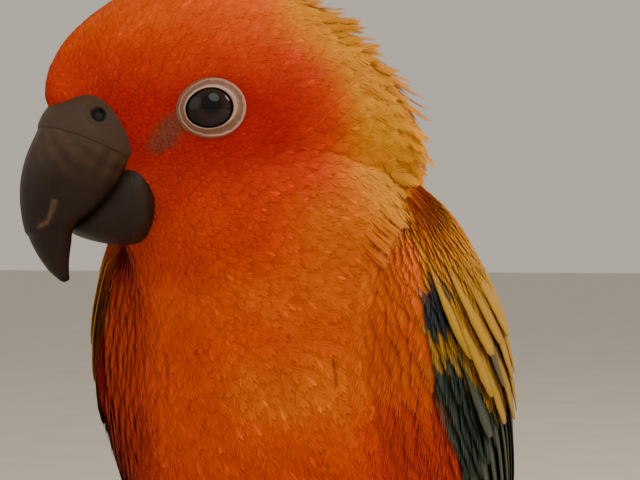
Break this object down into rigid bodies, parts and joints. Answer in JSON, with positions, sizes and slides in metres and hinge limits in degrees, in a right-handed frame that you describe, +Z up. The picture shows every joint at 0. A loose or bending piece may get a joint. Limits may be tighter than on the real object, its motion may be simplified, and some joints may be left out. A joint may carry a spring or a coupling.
{
  "type": "sun conure",
  "caption": "Life-size still model of a small long-tailed parrot standing on its feet and tail tip, head turned to its right, wings folded.",
  "frame": {"origin": "on the floor under the middle of the bird's own box", "axes": "+Z up, the bird's trunk faces -Y, its left is +X, its tail runs to +Y"},
  "size_m": [0.0688, 0.2256, 0.1594],
  "materials": {
    "feathers": "soft orange and yellow body feathers, matt",
    "face_feathers": "short red-orange feathers, matt",
    "wing_feathers": "yellow coverts and dark green flight feathers, satin",
    "tail_feathers": "olive green feathers, satin",
    "bill": "dark horn, satin, lightly scratched",
    "bare_skin": "pale grey bare skin, matt",
    "eye": "dark brown, wet gloss",
    "foot": "grey scaly skin, matt",
    "claw": "dark horn, satin"
  },
  "bodies": {
    "root": {"head": "face_feathers", "neck": "feathers", "cere": "bare_skin", "upper_mandible": "bill", "lower_mandible": "bill", "eye_left": "eye", "eye_ring_left": "bare_skin", "eye_right": "eye", "eye_ring_right": "bare_skin", "torso": "feathers", "wing_left": "wing_feathers", "wing_right": "wing_feathers", "tail": "tail_feathers", "thigh_left": "feathers", "shank_left": "foot", "toe_left_1": "foot", "claw_left_1": "claw", "toe_left_2": "foot", "claw_left_2": "claw", "toe_left_3": "foot", "claw_left_3": "claw", "toe_left_4": "foot", "claw_left_4": "claw", "thigh_right": "feathers", "shank_right": "foot", "toe_right_1": "foot", "claw_right_1": "claw", "toe_right_2": "foot", "claw_right_2": "claw", "toe_right_3": "foot", "claw_right_3": "claw", "toe_right_4": "foot", "claw_right_4": "claw"}
  },
  "joints": []
}
